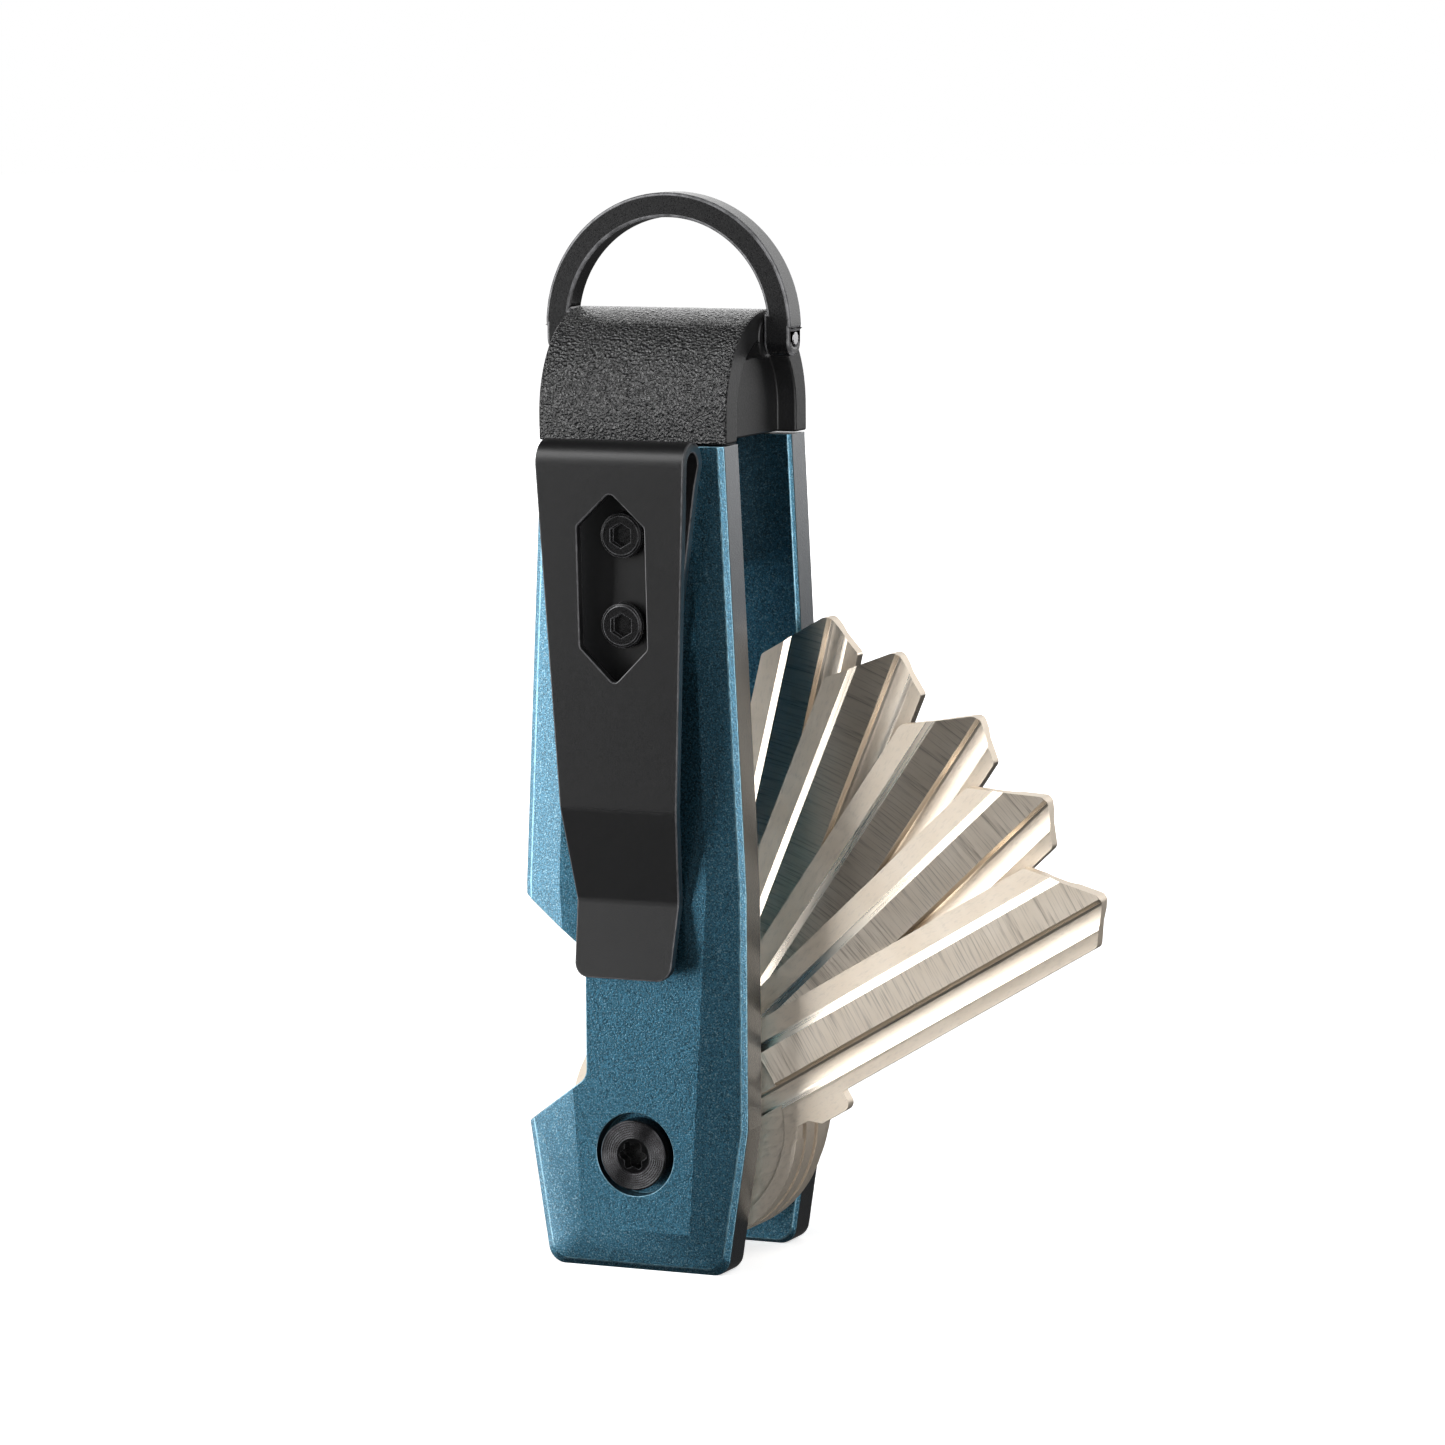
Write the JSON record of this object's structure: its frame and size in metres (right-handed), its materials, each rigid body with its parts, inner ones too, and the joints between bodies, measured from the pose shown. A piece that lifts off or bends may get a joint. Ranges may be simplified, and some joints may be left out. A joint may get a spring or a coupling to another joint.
{
  "type": "key organiser",
  "caption": "Slim pocket key holder: keys fan out on a pivot between two faceted metal side plates, with an end cap, a swinging D-ring and a pocket clip.",
  "frame": {"origin": "centre of the rear plate's flat outer face, at half the plate's height", "axes": "+Y straight out of the rear plate's face, +Z along the plates towards the end cap and D-ring, +X towards the side the keys fan out to"},
  "size_m": [0.0588, 0.0257, 0.1036],
  "materials": {
    "blue_aluminium": "bead-blasted and anodised blue",
    "black_plastic": "moulded, fine eroded grain",
    "black_steel": "black coated steel, satin",
    "black_screw": "black oxide screw steel",
    "pin_steel": "bright ground pin",
    "nickel_silver": "nickel silver, cross-brushed",
    "washer_steel": "plain steel washer"
  },
  "bodies": {
    "body": {"front_plate": "blue_aluminium", "rear_plate": "blue_aluminium", "end_cap": "black_plastic", "ring_pin_left": "pin_steel", "ring_pin_right": "pin_steel", "pocket_clip": "black_steel", "clip_screw_upper": "black_screw", "clip_screw_lower": "black_screw", "rear_cap_screw": "black_screw", "pivot_screw": "black_screw", "pivot_nut": "black_screw", "washer_1": "washer_steel", "washer_2": "washer_steel", "washer_3": "washer_steel", "washer_4": "washer_steel", "washer_5": "washer_steel", "washer_6": "washer_steel"},
    "key_1": {"key_1": "nickel_silver"},
    "key_2": {"key_2": "nickel_silver"},
    "key_3": {"key_3": "nickel_silver"},
    "key_4": {"key_4": "nickel_silver"},
    "key_5": {"key_5": "nickel_silver"},
    "d_ring": {"d_ring": "black_steel"}
  },
  "joints": [
    {"name": "key_1_swing", "type": "hinge", "parent": "body", "child": "key_1", "pos_m": [0, -0.0105, -0.0286], "axis": [0, 1, 0], "range_deg": [-59.2, 120.8]},
    {"name": "key_2_swing", "type": "hinge", "parent": "body", "child": "key_2", "pos_m": [0, -0.0105, -0.0286], "axis": [0, 1, 0], "range_deg": [-46.4, 133.6]},
    {"name": "key_3_swing", "type": "hinge", "parent": "body", "child": "key_3", "pos_m": [0, -0.0105, -0.0286], "axis": [0, 1, 0], "range_deg": [-34, 146]},
    {"name": "key_4_swing", "type": "hinge", "parent": "body", "child": "key_4", "pos_m": [0, -0.0105, -0.0286], "axis": [0, 1, 0], "range_deg": [-22.4, 157.6]},
    {"name": "key_5_swing", "type": "hinge", "parent": "body", "child": "key_5", "pos_m": [0, -0.0105, -0.0286], "axis": [0, 1, 0], "range_deg": [-13.4, 166.6]},
    {"name": "d_ring_swing", "type": "hinge", "parent": "body", "child": "d_ring", "pos_m": [0, -0.0105, 0.0497], "axis": [1, 0, 0], "range_deg": [-50, 50]}
  ]
}
